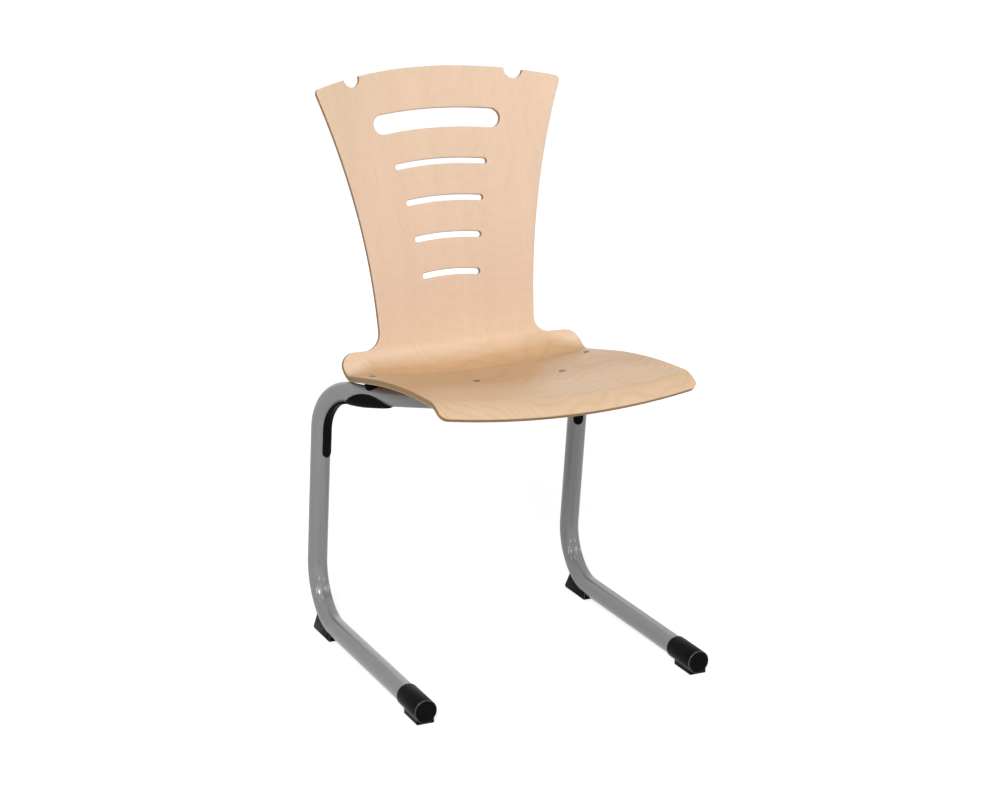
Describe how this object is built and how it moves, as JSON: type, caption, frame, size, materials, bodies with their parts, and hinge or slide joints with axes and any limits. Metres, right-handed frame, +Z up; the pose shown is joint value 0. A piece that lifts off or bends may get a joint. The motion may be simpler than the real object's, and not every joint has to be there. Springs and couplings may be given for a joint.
{
  "type": "school chair",
  "caption": "Stacking chair with a one-piece moulded plywood seat and slotted back on a bent tube cantilever frame with plastic feet and hanging guards.",
  "frame": {"origin": "middle of the box around the chair, on the floor", "axes": "+Z up, -Y the way the sitter faces, +X to the right when the chair is seen from the front, that is to the sitter's left"},
  "size_m": [0.4928, 0.5492, 0.8916],
  "materials": {
    "beech_plywood": "clear satin lacquer over beech veneer",
    "frame_lacquer": "satin grey powder coat",
    "black_plastic": "satin black moulding",
    "spacer_plastic": "matt black moulding",
    "screw_steel": "zinc plated",
    "nut_steel": "zinc plated"
  },
  "bodies": {
    "root": {"seat_shell": "beech_plywood", "frame_tube": "frame_lacquer", "front_cap_left": "black_plastic", "rear_foot_left": "black_plastic", "hang_guard_left": "black_plastic", "front_cap_right": "black_plastic", "rear_foot_right": "black_plastic", "hang_guard_right": "black_plastic", "seat_spacer_rear_left": "spacer_plastic", "seat_screw_rear_left": "screw_steel", "rivet_nut_rear_left": "nut_steel", "seat_spacer_rear_right": "spacer_plastic", "seat_screw_rear_right": "screw_steel", "rivet_nut_rear_right": "nut_steel", "seat_spacer_front_left": "spacer_plastic", "seat_screw_front_left": "screw_steel", "rivet_nut_front_left": "nut_steel", "seat_spacer_front_right": "spacer_plastic", "seat_screw_front_right": "screw_steel", "rivet_nut_front_right": "nut_steel"}
  },
  "joints": []
}
